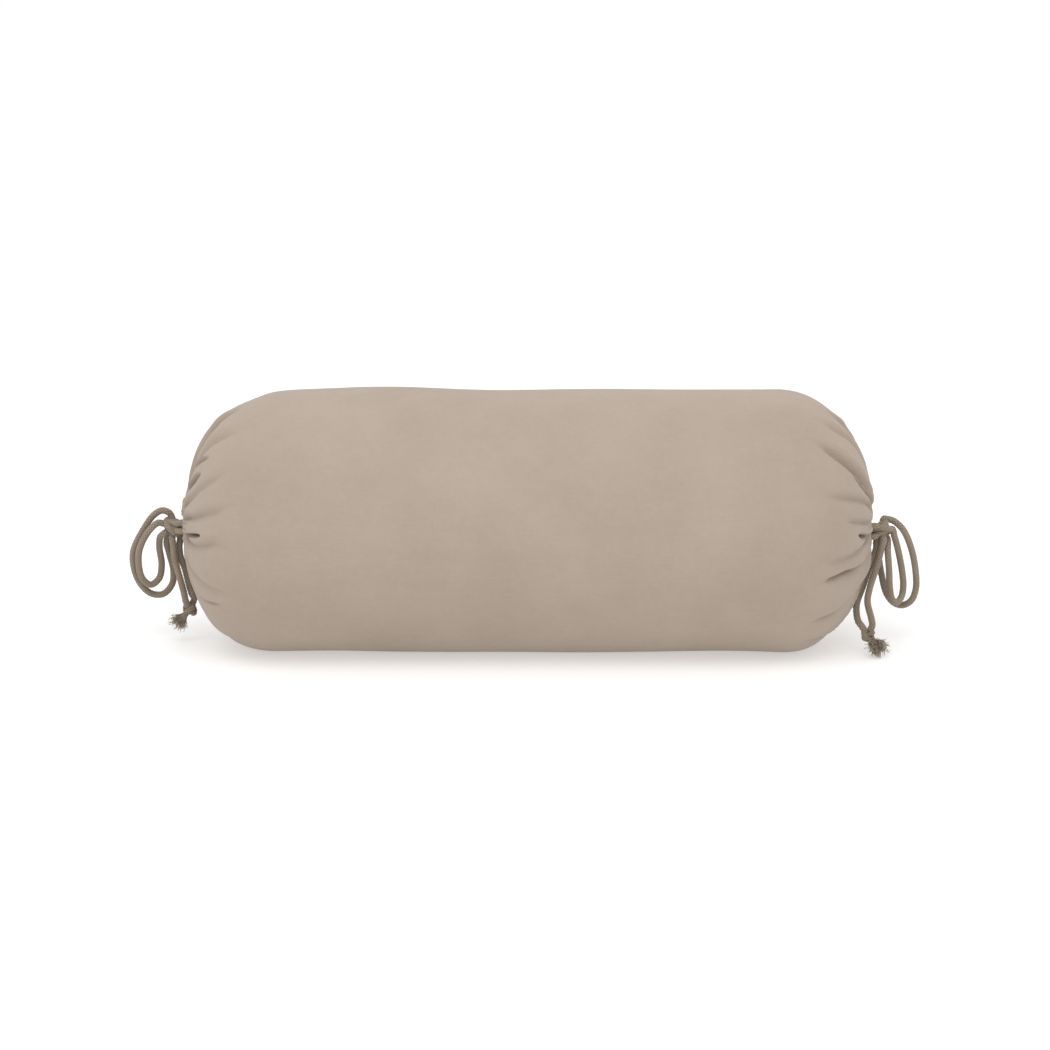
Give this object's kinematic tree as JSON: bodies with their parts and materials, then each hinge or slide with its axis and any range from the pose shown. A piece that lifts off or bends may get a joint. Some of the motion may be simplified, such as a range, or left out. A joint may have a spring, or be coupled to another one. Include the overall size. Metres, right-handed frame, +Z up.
{
  "type": "bolster pillow",
  "caption": "Round, firmly stuffed bolster pillow in a plain cotton cover, each end gathered shut by a drawstring tied in a hanging bow.",
  "frame": {"origin": "on the surface the pillow rests on, under the middle of the pillow", "axes": "+X along the pillow's length, +Z up, and -Y towards the side it is looked at from"},
  "size_m": [0.7037, 0.234, 0.227],
  "materials": {
    "cover_cloth": "matte",
    "liner_cloth": "matte",
    "stuffing": "matte",
    "cord": "matte"
  },
  "bodies": {
    "pillow": {"filling": "stuffing", "liner_sleeve": "liner_cloth", "liner_end_right": "liner_cloth", "liner_end_left": "liner_cloth", "cover_sleeve": "cover_cloth", "hem_right": "cover_cloth", "neck_cord_right": "cord", "hem_left": "cover_cloth", "neck_cord_left": "cord"},
    "right_tie": {"bow_knot_right": "cord", "loop_outer_right": "cord", "loop_inner_right": "cord", "tail_near_right": "cord", "tail_far_right": "cord", "end_knot_right": "cord", "tassel_right": "cord"},
    "left_tie": {"bow_knot_left": "cord", "loop_outer_left": "cord", "loop_inner_left": "cord", "tail_near_left": "cord", "tail_far_left": "cord", "end_knot_left": "cord", "tassel_left": "cord"}
  },
  "joints": [
    {"name": "right_tie_swing", "type": "hinge", "parent": "pillow", "child": "right_tie", "pos_m": [0.313, -0.008, 0.104], "axis": [0, -1, 0], "range_deg": [0, 60]},
    {"name": "left_tie_swing", "type": "hinge", "parent": "pillow", "child": "left_tie", "pos_m": [-0.313, -0.002, 0.105], "axis": [0, 1, 0], "range_deg": [0, 60]}
  ]
}
